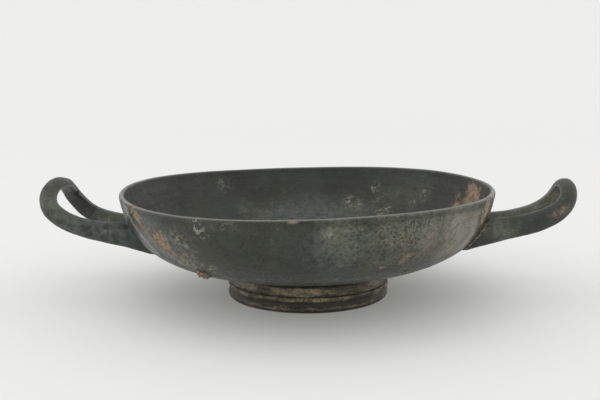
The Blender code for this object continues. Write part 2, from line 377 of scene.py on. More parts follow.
# Centre, upward normal, crosswise direction and half sizes of each section round the loop
def handleRings(handle):
    half = armLine(handle)
    furthest = max(row[0] + math.sin(row[3]) * handle["heightTip"] / 2 for row in half)
    start = bowl["rimRadius"] + handle["projection"] - furthest
    centres = [Vector((start + out, -spread, height)) for out, height, spread, angle, share in half]
    normals = [Vector((-math.sin(row[3]), 0, math.cos(row[3]))) for row in half]
    shares = [row[-1] for row in half]
    rise = math.radians(handle["rise"])
    buried = Vector((math.cos(rise), 0, math.sin(rise))) * strap["rootBurial"]
    back = [Vector((c.x, -c.y, c.z)) for c in reversed(centres[:-1])]
    centres = [centres[0] - buried] + centres + back + [back[-1] - buried]
    normals = [normals[0]] + normals + normals[-2::-1] + [normals[0]]
    shares = [0.0] + shares + shares[-2::-1] + [0.0]
    rings = []
    for index, (centre, normal, share) in enumerate(zip(centres, normals, shares)):
        before = centres[max(index - 1, 0)]
        after = centres[min(index + 1, len(centres) - 1)]
        tangent = (after - before).normalized()
        up = (normal - tangent * normal.dot(tangent)).normalized()
        flare = max(1 - share / strap["flareEnd"], 0.0) ** 2
        toTip = smoothStep((share - strap["thinningStart"]) / (1 - strap["thinningStart"]))
        tall = handle["heightMid"] + (handle["heightRoot"] - handle["heightMid"]) * flare
        tall += (handle["heightTip"] - handle["heightMid"]) * toTip
        wide = strap["widthMid"] + (strap["widthRoot"] - strap["widthMid"]) * flare
        flattened = smoothStep((share - strap["flatteningStart"]) / (1 - strap["flatteningStart"]))
        thinned = (strap["widthMid"] - strap["widthTip"]) * flattened
        across = tangent.cross(up)
        rings.append((centre + across * thinned / 2, up, across, tall / 2, (wide - thinned) / 2))
    return rings


def pulledHandle(handle):
    pivot = Matrix.Translation((0, 0, bowl["rimHeight"] - handle["rootDrop"]))
    roll = pivot @ Matrix.Rotation(math.radians(handle["roll"]), 4, "X") @ pivot.inverted()
    side = Matrix.Scale(handle["side"], 4, Vector((1, 0, 0)))
    placement = Matrix.Rotation(math.radians(handle["swing"]), 4, "Z") @ side @ roll
    bm = bmesh.new()
    lastEdges = None
    rings = handleRings(handle)
    for index, (centre, up, across, halfTall, halfWide) in enumerate(rings):
        atEnd = index in (0, len(rings) - 1)
        sides = strap["sectionSides"]
        ring = bmesh.ops.create_circle(bm, cap_ends=atEnd, segments=sides, radius=1)["verts"]
        for vert in ring:
            sideways = vert.co.x
            if sideways < 0:
                sideways = -strap["innerShare"] * abs(sideways) ** strap["innerPower"]
            vert.co = placement @ (centre + across * sideways * halfWide + up * vert.co.y * halfTall)
        edges = list({edge for vert in ring for edge in vert.link_edges})
        if lastEdges:
            bmesh.ops.bridge_loops(bm, edges=lastEdges + edges)
        lastEdges = edges
    bmesh.ops.recalc_face_normals(bm, faces=bm.faces)
    for face in bm.faces:
        face.material_index = zones.index("handle")
    return bm


# Everything inside the middle of the wall, which trims the handles' buried ends
def bowlCore():
    outline = [point - normal * wallThickness(share) / 2 for point, normal, share in outerWall()]
    above = bowl["rimHeight"] + strap["coreAbove"]
    top = [Vector((outline[0].x, above)), Vector((0, above))]
    return turned([Vector((0, outline[-1].y))] + outline[::-1] + top)


def helper(name, bm):
    mesh = bpy.data.meshes.new(name)
    bm.to_mesh(mesh)
    bm.free()
    for zone in zones:
        mesh.materials.append(bpy.data.materials.get(zone) or bpy.data.materials.new(zone))
    obj = bpy.data.objects.new(name, mesh)
    bpy.context.scene.collection.objects.link(obj)
    return obj


def boolean(obj, operation, other):
    modifier = obj.modifiers.new(operation.lower(), "BOOLEAN")
    modifier.operation = operation
    modifier.solver = "EXACT"
    modifier.object = other


# Bowl and handles joined into one body of clay, as a bmesh in millimetres
def joinedClay():
    body = turned(cupOutline())
    markZones(body)
    outOfTrue(body)
    core = bowlCore()
    outOfTrue(core)
    bodyObject = helper("bodyBlank", body)
    coreObject = helper("coreBlank", core)
    blanks = [bodyObject, coreObject]
    for number, handle in enumerate(handles):
        blank = helper("handleBlank" + str(number), pulledHandle(handle))
        boolean(blank, "DIFFERENCE", coreObject)
        boolean(bodyObject, "UNION", blank)
        blanks.append(blank)
    bpy.context.view_layer.update()
    joined = bodyObject.evaluated_get(bpy.context.evaluated_depsgraph_get())
    bm = bmesh.new()
    bm.from_mesh(joined.to_mesh())
    joined.to_mesh_clear()
    for blank in blanks:
        mesh = blank.data
        bpy.data.objects.remove(blank)
        bpy.data.meshes.remove(mesh)
    bmesh.ops.remove_doubles(bm, verts=bm.verts, dist=strap["joinWeld"])
    return bm


clay = joinedClay()
print("clay joined:", len(clay.faces), "faces")

# Marks of age, and painted sheen among them. A path runs through (bearing, height) points on the bowl and
# foot, or (x, y, z) points on a handle, and reach is the distance at which the mark has half gone.
marks = {
    "bareClay": (
        ("outside", ((-147.8, 51.0), (-145.5, 47.5)), 2.8, 0.80),
        ("outside", ((-144.5, 45.6), (-141.5, 41.0)), 1.7, 0.70),
        ("outside", ((-136.4, 39.6), (-135.6, 38.4)), 5.0, 0.92),
        ("outside", ((-133.2, 35.6), (-130.6, 31.8)), 2.8, 0.65),
        ("outside", ((-26.5, 51.0), (-25.8, 48.0), (-26.5, 45.0)), 3.4, 0.95),
        ("outside", ((-30.0, 50.5), (-29.5, 47.5)), 2.2, 0.75),
        ("outside", ((-31.0, 32.0), (-33.0, 28.5)), 1.5, 0.6),
        ("outside", ((-61.3, 31.7), (-59.8, 34.9)), 1.8, 0.72),
        ("inside", ((14.5, 47.5), (9.5, 46.5), (6.5, 44.0)), 4.6, 1.0),
        ("inside", ((14.5, 42.0), (9.0, 40.5)), 3.6, 1.0),
        ("inside", ((6.5, 50.6),), 2.0, 0.8),
        ("outside", ((118.0, 50.5), (121.0, 48.0)), 1.8, 0.8),
        ("outside", ((64.0, 33.0), (60.0, 31.0)), 2.2, 0.7),
        ("handle", ((-104.0, 25.5, 31.0),), 2.0, 0.7),
        ("inside", ((21.5, 43.2),), 2.6, 0.75),
        ("inside", ((17.5, 38.7), (21.5, 39.5)), 2.4, 0.8),
    ),
    "stain": (
        ("handle", ((123.0, -23.6, 46.0), (118.5, -24.9, 43.8), (115.5, -25.5, 42.6)), 2.8, 1.0),
        ("handle", ((124.7, 9.8, 50.4), (123.0, 14.0, 44.6)), 5.0, 0.8),
        ("outside", ((-50.0, 46.0), (-46.0, 38.0), (-44.0, 32.0)), 9.0, 0.55),
        ("outside", ((-129.0, 33.0),), 5.0, 0.5),
        ("outside", ((140.0, 44.0), (136.0, 36.0)), 6.0, 0.5),
        ("foot", ((-73.0, 11.4), (-57.0, 11.2)), 1.3, 0.8),
        ("foot", ((-124.0, 10.0), (-117.0, 11.0)), 2.0, 0.4),
        ("foot", ((-135.0, 4.0), (-45.0, 4.0)), 1.6, 0.8),
    ),
    "wear": (
        ("outside", ((-81.0, 50.0), (-82.0, 45.0), (-81.0, 40.0)), 10.0, 0.95),
        ("outside", ((-68.0, 46.5), (-50.0, 45.5), (-36.0, 44.0)), 12.0, 1.0),
        ("outside", ((-70.0, 36.0), (-52.0, 35.0), (-38.0, 34.0)), 10.0, 0.68),
        ("outside", ((-66.0, 27.0), (-50.0, 26.0)), 9.0, 0.3),
        ("outside", ((48.0, 47.0), (66.0, 40.0)), 9.0, 0.7),
        ("outside", ((100.0, 30.0), (128.0, 36.0)), 9.0, 0.6),
        ("outside", ((20.0, 32.0), (36.0, 28.0)), 8.0, 0.5),
        ("outside", ((160.0, 34.0), (150.0, 30.0)), 8.0, 0.5),
        ("outside", ((-128.0, 34.0), (-125.0, 40.0)), 7.0, 0.38),
        ("outside", ((-104.0, 46.0), (-98.0, 38.0)), 12.0, 0.2),
        ("inside", ((60.0, 36.0), (40.0, 40.0)), 8.0, 0.42),
        ("inside", ((112.0, 25.0), (60.0, 25.0)), 15.0, 0.62),
        ("handle", ((86.0, -30.0, 40.0), (92.0, -31.0, 36.0)), 7.0, 0.75),
        ("handle", ((84.0, 22.0, 35.0), (107.0, 18.0, 38.5), (123.0, 13.0, 46.0)), 8.0, 1.2),
        ("handle", ((128.0, -8.0, 52.0), (128.0, 8.0, 52.0)), 9.0, 0.4),
        ("handle", ((-112.0, -24.7, 41.0), (-117.0, -24.0, 44.0), (-122.0, -21.0, 51.0)), 8.0, 0.72),
        ("handle", ((-105.0, -25.4, 39.0), (-92.0, -26.0, 36.0)), 7.0, 0.5),
        ("handle", ((-107.0, 26.0, 35.6), (-92.0, 30.0, 34.0)), 9.0, 0.8),
        ("foot", ((-176.0, 10.5), (-130.0, 10.0)), 3.0, 0.9),
        ("foot", ((-112.0, 9.8), (-88.0, 9.8)), 2.4, 0.8),
        ("foot", ((-152.0, 6.2), (-126.0, 5.2)), 1.8, 0.8),
        ("foot", ((-80.0, 6.6), (-60.0, 6.2)), 1.0, 0.8),
        ("foot", ((-104.0, 6.4), (-76.0, 6.4)), 1.2, 1.0),
        ("foot", ((-138.0, 2.2), (-105.0, 2.2)), 1.2, 0.9),
        ("foot", ((-95.0, 2.2), (-38.0, 2.2)), 0.6, 0.8),
        ("foot", ((-48.0, 10.0), (-14.0, 10.0)), 2.6, 0.6),
        ("foot", ((-36.0, 5.5), (-14.0, 5.5)), 1.5, 0.6),
    ),
    # Pale film on the slip, partly a painted sheen where light glances off the bowl and handles
    "hazeAndSheen": (
        ("outside", ((-34.2, 45.0), (-33.0, 38.0), (-34.0, 32.0)), 5.0, 0.75),
        ("outside", ((-45.8, 46.0), (-42.0, 40.0), (-43.3, 33.7)), 7.5, 0.75),
        ("outside", ((-55.5, 45.0), (-55.0, 40.0)), 5.0, 0.6),
        # Painted reflection: the pale sheen along the bowl's left edge, in this stroke and the one after it
        (
            "outside",
            ((-155.8, 51.1), (-152.7, 47.2), (-149.2, 42.0), (-146.2, 36.1), (-145.1, 31.9)), 2.2, 0.9,
        ),
        ("outside", ((-142.0, 40.0), (-138.0, 34.0), (-132.0, 28.5)), 4.5, 0.68),
        ("outside", ((-125.0, 31.0), (-122.0, 27.0)), 4.0, 0.45),
        ("handle", ((-100.0, -28.0, 39.0), (-90.0, -29.0, 36.5)), 3.0, 0.25),
        ("handle", ((92.0, 20.5, 36.0), (107.0, 18.5, 38.5), (122.0, 14.0, 44.5)), 5.0, 0.55),
        ("handle", ((122.5, -23.8, 46.0), (116.0, -25.3, 43.0)), 2.0, 0.5),
    ),
    "paleSpeck": (
        ("outside", ((-127.0, 41.0), (-128.4, 31.0), (-128.9, 26.5)), 5.0, 0.75),
        ("outside", ((-121.7, 29.0),), 3.6, 0.9),
        ("outside", ((-120.5, 50.0), (-119.0, 46.0)), 2.4, 0.9),
        ("outside", ((-114.5, 50.5), (-110.5, 50.0)), 1.6, 0.35),
        ("outside", ((-84.4, 47.5),), 2.4, 0.9),
        ("inside", ((62.4, 41.3),), 2.2, 1.0),
        ("inside", ((59.6, 35.6),), 2.2, 1.0),
        ("inside", ((68.7, 31.2), (72.4, 34.0)), 2.6, 0.8),
        ("inside", ((54.3, 30.1), (56.7, 28.4)), 2.2, 1.0),
        ("inside", ((43.8, 34.1),), 2.0, 0.8),
        ("inside", ((39.2, 45.5),), 1.4, 0.9),
        ("inside", ((40.7, 40.3),), 3.0, 0.75),
        ("inside", ((124.0, 44.0),), 3.5, 0.5),
        ("outside", ((86.0, 45.0), (90.0, 40.0)), 3.0, 0.8),
        ("outside", ((30.0, 44.0),), 2.4, 0.8),
        ("outside", ((146.0, 30.0), (150.0, 26.0)), 3.5, 0.7),
        ("inside", ((-70.0, 40.0), (-76.0, 34.0)), 3.0, 0.7),
        ("handle", ((124.7, 9.8, 50.4), (123.0, 14.0, 44.6)), 3.0, 0.6),
    ),
    "blueCast": (
        ("outside", ((-142.7, 49.7), (-136.4, 43.4), (-130.6, 38.0)), 4.0, 0.8),
        ("outside", ((-130.5, 42.9),), 3.6, 0.7),
        ("outside", ((-86.0, 40.0), (-82.0, 35.0)), 8.0, 0.5),
        ("inside", ((95.0, 26.0), (80.0, 25.0)), 10.0, 0.6),
        ("handle", ((-112.0, -22.5, 37.0), (-98.0, -25.6, 36.0), (-88.0, -26.5, 34.0)), 6.0, 0.8),
    ),
    "redTint": (
        ("outside", ((-50.2, 44.2),), 1.6, 1.0),
        ("outside", ((-55.0, 42.5), (-52.5, 37.3), (-53.0, 33.0)), 2.4, 0.8),
        ("outside", ((-34.0, 40.0), (-40.0, 33.0)), 5.0, 0.35),
    ),
    "darkLine": (
        ("outside", ((-91.8, 52.6), (-89.9, 52.6)), 0.45, 0.8),
        ("handle", ((-85.4, -25.0, 38.9),), 1.0, 1.0),
        ("handle", ((-120.9, 24.0, 47.2),), 1.2, 0.8),
    ),
    "paleDash": (
        ("outside", ((-94.6, 53.0), (-92.6, 53.0)), 0.4, 0.7),
    ),
    "crust": (
        ("outside", ((-128.6, 23.6), (-127.8, 24.6)), 2.0, 1.0),
        ("outside", ((-67.1, 30.1),), 0.9, 0.8),
        ("outside", ((-55.6, 24.2),), 1.0, 0.9),
        ("outside", ((-38.1, 28.8),), 1.0, 0.9),
        ("outside", ((-61.3, 31.7),), 1.2, 0.6),
        ("foot", ((-7.0, 5.2),), 0.7, 0.9),
    ),
}

relief = {
    "strokeTurn": 6.0,  # degrees between a stroke's places
    "fineFrom": 0.12,  # share of a mark above which its mesh is made finer
    "fineRounds": 2,
    "lumpHeight": 2.3,
    "crustHeight": 0.55,
    "crackDepth": 0.9,
    "clayDepth": 0.14,
    "wheelHeight": 0.03,
    "wheelPeriod": 3.1,
    "bowlUnevenness": 0.14,
    "handleUnevenness": 0.16,
    "footUnevenness": 0.16,
    "seamReach": 2.4,
    "seamCut": 0.4,  # depth of the crack along the join that faces front and right
    "seamRounds": 6,
    "arrisEdge": 0.4,  # shortest edge that counts, and the turn in radians where wear starts and is full
    "arrisFrom": 0.25,
    "arrisSpan": 0.35,
    "boxMargin": 6.0,
    "farFromLip": 99.0,
}


def placeOnCup(zone, point):
    if len(point) == 3:
        return Vector(point)
    bearing, height = math.radians(point[0]), point[1]
    if zone == "foot":
        reach = foot["radius"]
    else:
        wall = outerWall()[::-1]
        reach = np.interp(height, [p.y for p, n, s in wall], [p.x for p, n, s in wall])
        if zone == "inside":
            reach -= bowl["wall"]
    return Vector((reach * math.cos(bearing), reach * math.sin(bearing), height))


# Places of a stroke's points, with more between those that lie far apart round the cup
def strokePlaces(zone, path):
    points = [Vector(path[0])]
    for start, end in zip(path, path[1:]):
        steps = 1 if len(start) == 3 else math.ceil(abs(end[0] - start[0]) / relief["strokeTurn"])
        points += [Vector(start).lerp(Vector(end), step / steps) for step in range(1, steps + 1)]
    return [placeOnCup(zone, point) for point in points]


# How strongly each vertex lies in each zone of the cup, from the faces round it
def zoneWeights(bm):
    weights = np.zeros((len(zones), len(bm.verts)))
    for vert in bm.verts:
        for face in vert.link_faces:
            weights[face.material_index, vert.index] += 1 / len(vert.link_faces)
    return dict(zip(zones, weights))


def distanceToPath(points, path):
    nearest = np.full(len(points), 1e9)
    starts = path[:-1] or path
    ends = path[1:] or path
    for start, end in zip(starts, ends):
        along = end - start
        share = np.clip((points - start) @ along / max(along @ along, 1e-9), 0, 1)
        nearest = np.minimum(nearest, np.linalg.norm(points - start - share[:, None] * along, axis=1))
    return nearest


# Each kind of mark as one number for each vertex
def markFields(bm):
    bm.verts.index_update()
    points = np.array([vert.co for vert in bm.verts])
    weights = zoneWeights(bm)
    trees = {}
    for zone in zones:
        members = np.flatnonzero(weights[zone] > 0.5)
        trees[zone] = KDTree(len(members))
        for index in members:
            trees[zone].insert(points[index], int(index))
        trees[zone].balance()
    fields = {}
    for kind, strokes in marks.items():
        field = np.zeros(len(points))
        for zone, path, reach, strength in strokes:
            snapped = [np.array(trees[zone].find(point)[0]) for point in strokePlaces(zone, path)]
            near = np.clip(1 - distanceToPath(points, snapped) / (2 * reach), 0, 1)
            field = np.maximum(field, strength * near * near * (3 - 2 * near) * weights[zone])
        fields[kind] = field
    return fields, weights


# More faces under crusts and dark cracks, whose heights change within a millimetre
def makeFiner(bm, fields):
    for rounds in range(relief["fineRounds"]):
        chosen = np.maximum(fields["crust"], fields["darkLine"]) > relief["fineFrom"]
        bm.verts.ensure_lookup_table()
        edges = [edge for edge in bm.edges if all(chosen[vert.index] for vert in edge.verts)]
        bmesh.ops.subdivide_edges(bm, edges=edges, cuts=1, use_grid_fill=True)
        fields, weights = markFields(bm)
    return fields, weights


# 1 on the joins between bowl and handles, falling to 0 at the seam's reach
def seamShares(bm):
    joined = {zones.index("outside"), zones.index("handle")}
    onSeam = {
        vert.index for edge in bm.edges
        if {face.material_index for face in edge.link_faces} == joined
        for vert in edge.verts
    }
    tree = KDTree(len(onSeam))
    bm.verts.ensure_lookup_table()
    for index in sorted(onSeam):
        tree.insert(bm.verts[index].co, index)
    tree.balance()
    distances = np.array([tree.find(vert.co)[2] for vert in bm.verts])
    return np.clip(1 - distances / relief["seamReach"], 0, 1)


# The joins were smoothed with a wet finger
def smoothSeams(bm):
    for least in (0.0, 0.5):
        shares = seamShares(bm)
        chosen = [vert for vert in bm.verts if shares[vert.index] > least]
        for step in range(relief["seamRounds"]):
            bmesh.ops.smooth_vert(
                bm, verts=chosen, factor=0.5, use_axis_x=True, use_axis_y=True, use_axis_z=True,
            )


# Relief of the surface. Each noise is read at the place divided by its size in millimetres.
def shapeRelief(bm, fields, weights, seams):
    bm.normal_update()
    moves = []
    for vert in bm.verts:
        index = vert.index
        place = vert.co
        inBowl = weights["outside"][index] + weights["inside"][index]
        uneven = noise.noise(place / 23) + 0.5 * noise.noise(place / 9)
        height = relief["bowlUnevenness"] * inBowl * uneven
        turn = 2 * math.pi * place.z / relief["wheelPeriod"] + noise.noise(place / 14) * 2
        height += relief["wheelHeight"] * inBowl * math.sin(turn)
        knead = noise.noise(place / 7) + 0.4 * noise.noise(place / 2.5)
        height += relief["handleUnevenness"] * weights["handle"][index] * knead
        streaked = noise.noise(Vector((place.x / 9, place.y / 9, place.z / 1.6)))
        streaked += 0.5 * noise.noise(place / 1.8)
        height += relief["footUnevenness"] * weights["foot"][index] * streaked
        crust = fields["crust"][index]
        if crust > 0:
            grain = 0.72 + 0.45 * noise.noise(place / 1.3) + 0.3 * noise.noise(place / 0.6)
            isLump = weights["outside"][index] and place.x < -30
            tall = relief["lumpHeight"] if isLump else relief["crustHeight"]
            height += tall * smoothStep(crust * 1.6) * grain
        height -= relief["crackDepth"] * fields["darkLine"][index]
        if place.x > 0 and place.y < -20:
            height -= relief["seamCut"] * smoothStep(seams[index] * 2 - 1) * (1 + noise.noise(place / 3))
        spall = smoothStep((fields["bareClay"][index] + 0.35 * noise.noise(place / 2.0) - 0.42) / 0.2)
        height -= relief["clayDepth"] * spall * (1 + 0.6 * noise.noise(place / 1.1))
        moves.append(vert.normal * height)
    for vert, move in zip(bm.verts, moves):
        onGround = vert.co.z < 0.05
        vert.co += move
        vert.co.z = 0.0 if onGround else max(vert.co.z, 0.0)


# The outermost few millimetres are drawn in where they stand proud of the CAD solid's box
def keepInBox(bm):
    margin = relief["boxMargin"]
    low, high = cadLow / mm, cadHigh / mm
    for axis in range(3):
        for side, limit in ((-1, low[axis]), (1, high[axis])):
            furthest = max(side * vert.co[axis] for vert in bm.verts)
            start = side * limit - margin
            if furthest <= side * limit:
                continue
            squeeze = margin / (furthest - start)
            for vert in bm.verts:
                beyond = side * vert.co[axis] - start
                if beyond > 0:
                    vert.co[axis] = side * (start + beyond * squeeze)


# Millimetres from the top of the lip down to each vertex
def lipDepths(bm, weights):
    depths = []
    for vert in bm.verts:
        bearing = math.atan2(vert.co.y, vert.co.x)
        top = bowl["rimHeight"] + lipWave(bearing)
        lean = bowl["leanAlongHandles"] * math.cos(bearing) + bowl["leanFrontToBack"] * math.sin(bearing)
        onHandle = weights["handle"][vert.index] > 0.5
        depth = top + lean * bowl["rimRadius"] - vert.co.z
        depths.append(relief["farFromLip"] if onHandle else depth)
    return depths


def storeField(mesh, name, values):
    attribute = mesh.attributes.new(name, "FLOAT", "POINT")
    attribute.data.foreach_set("value", np.asarray(values, np.float32))


# How sharply the surface turns outwards at each vertex: arrises and edges, which are painted lighter,
# partly for wear and partly as a painted highlight
def arrisShares(bm):
    shares = []
    for vert in bm.verts:
        edges = [edge for edge in vert.link_edges if edge.calc_length() > relief["arrisEdge"]]
        sharpest = max((edge.calc_face_angle_signed(0.0) for edge in edges), default=0)
        shares.append(min(max((sharpest - relief["arrisFrom"]) / relief["arrisSpan"], 0), 1))
    return shares


def finishedCup(bm):
    fields, weights = markFields(bm)
    fields, weights = makeFiner(bm, fields)
    print("marks laid out:", len(bm.verts), "vertices")
    smoothSeams(bm)
    seams = seamShares(bm)
    arris = arrisShares(bm)
    depths = lipDepths(bm, weights)
    shapeRelief(bm, fields, weights, seams)
    keepInBox(bm)
    for face in bm.faces:
        face.material_index = 0
        face.smooth = True
    bmesh.ops.triangulate(bm, faces=[face for face in bm.faces if len(face.verts) > 4])
    bmesh.ops.scale(bm, verts=bm.verts, vec=(mm, mm, mm))
    mesh = bpy.data.meshes.new("kylixCup")
    bm.to_mesh(mesh)
    bm.free()
    stored = {**fields, **weights, "seam": seams, "arris": arris, "belowLip": depths}
    for name, values in stored.items():
        storeField(mesh, name, values)
    cup = bpy.data.objects.new("kylixCup", mesh)
    bpy.context.scene.collection.objects.link(cup)
    return cup


cup = finishedCup(clay)
print("cup finished:", len(cup.data.polygons), "faces")


# One node output. Sums on values are written as plain arithmetic and add Math nodes.
class Wire:
    def __init__(self, tree, socket=None):
        self.tree = tree
        self.socket = socket

    def node(self, kind, settings=None, values=None, output=0):
        made = self.tree.nodes.new(kind)
        for name, value in (settings or {}).items():
            setattr(made, name, value)
        for name, value in (values or {}).items():
            if isinstance(value, Wire):
                self.tree.links.new(value.socket, made.inputs[name])
            else:
                made.inputs[name].default_value = value
        return Wire(self.tree, made.outputs[output])

    def maths(self, operation, first, second):
        return self.node("ShaderNodeMath", {"operation": operation}, {0: first, 1: second})

    def __add__(self, other):
        return self.maths("ADD", self, other)

    def __sub__(self, other):
        return self.maths("SUBTRACT", self, other)

    def __rsub__(self, other):
        return self.maths("SUBTRACT", other, self)

    def __mul__(self, other):
        return self.maths("MULTIPLY", self, other)

    __radd__ = __add__
    __rmul__ = __mul__


def grain(place, size, detail=3.0, roughness=0.55, stretch=(1, 1, 1)):
    squeezed = place.node("ShaderNodeVectorMath", {"operation": "MULTIPLY"}, {0: place, 1: stretch})
    return place.node(
        "ShaderNodeTexNoise", {},
        {"Vector": squeezed, "Scale": 1 / size, "Detail": detail, "Roughness": roughness},
    )


# 0 below low, 1 above high, smooth between
def step(value, low, high):
    return value.node(
        "ShaderNodeMapRange", {"interpolation_type": "SMOOTHSTEP"},
        {"Value": value, "From Min": low, "From Max": high},
    )


def band(value, low, high, soft):
    return step(value, low - soft, low + soft) * (1 - step(value, high - soft, high + soft))


# Mixes two colours. A Mix node's sockets 6 and 7 and its output 2 are the ones for colours.
def blend(share, first, second):
    colours = [colour if isinstance(colour, Wire) else (*colour, 1) for colour in (first, second)]
    values = {0: share, 6: colours[0], 7: colours[1]}
    return share.node("ShaderNodeMix", {"data_type": "RGBA"}, values, 2)


# Keeps the noise that breaks up a mark from making spots where there is no mark
def marked(value):
    return step(value, 0.05, 0.3)


# Linear colours of the slip, its wear, the clay under it and what lies on it
slip = {
    "black": (0.0180, 0.0205, 0.0125),
    "grey": (0.033, 0.038, 0.0265),
    "brownish": (0.034, 0.033, 0.019),
    "wornGreen": (0.115, 0.130, 0.094),
    "wornOlive": (0.132, 0.130, 0.084),
    # pale worn edge colour, also used as a painted highlight on arrises and the lip
    "wornEdgeAndHighlight": (0.165, 0.172, 0.145),
    "blue": (0.082, 0.102, 0.110),
    "red": (0.120, 0.045, 0.032),
    # pale film colour, also used for painted sheen and reflection
    "hazeAndSheen": (0.260, 0.238, 0.200),
    "stain": (0.085, 0.066, 0.045),
    "pale": (0.34, 0.335, 0.27),
    "paleOlive": (0.260, 0.235, 0.140),
    "pink": (0.30, 0.20, 0.155),
    "clayOrange": (0.35, 0.235, 0.145),
    "clayTan": (0.37, 0.30, 0.215),
    "clayDirt": (0.11, 0.085, 0.056),
    "crustBrown": (0.15, 0.105, 0.075),
    "crustPink": (0.30, 0.21, 0.165),
    "footOlive": (0.105, 0.094, 0.060),
    "footTan": (0.310, 0.256, 0.178),
    "footPink": (0.330, 0.232, 0.180),
    # darkest brown of cracks and pits, also used for painted shade on the foot
    "darkAndPaintedShade": (0.026, 0.021, 0.013),
    "glossyRoughness": 0.24,
    "dullRoughness": 0.42,
    "wornRoughness": 0.60,
    "clayRoughness": 0.88,
    "insideDulling": 0.14,
    "handleDulling": 0.16,
}


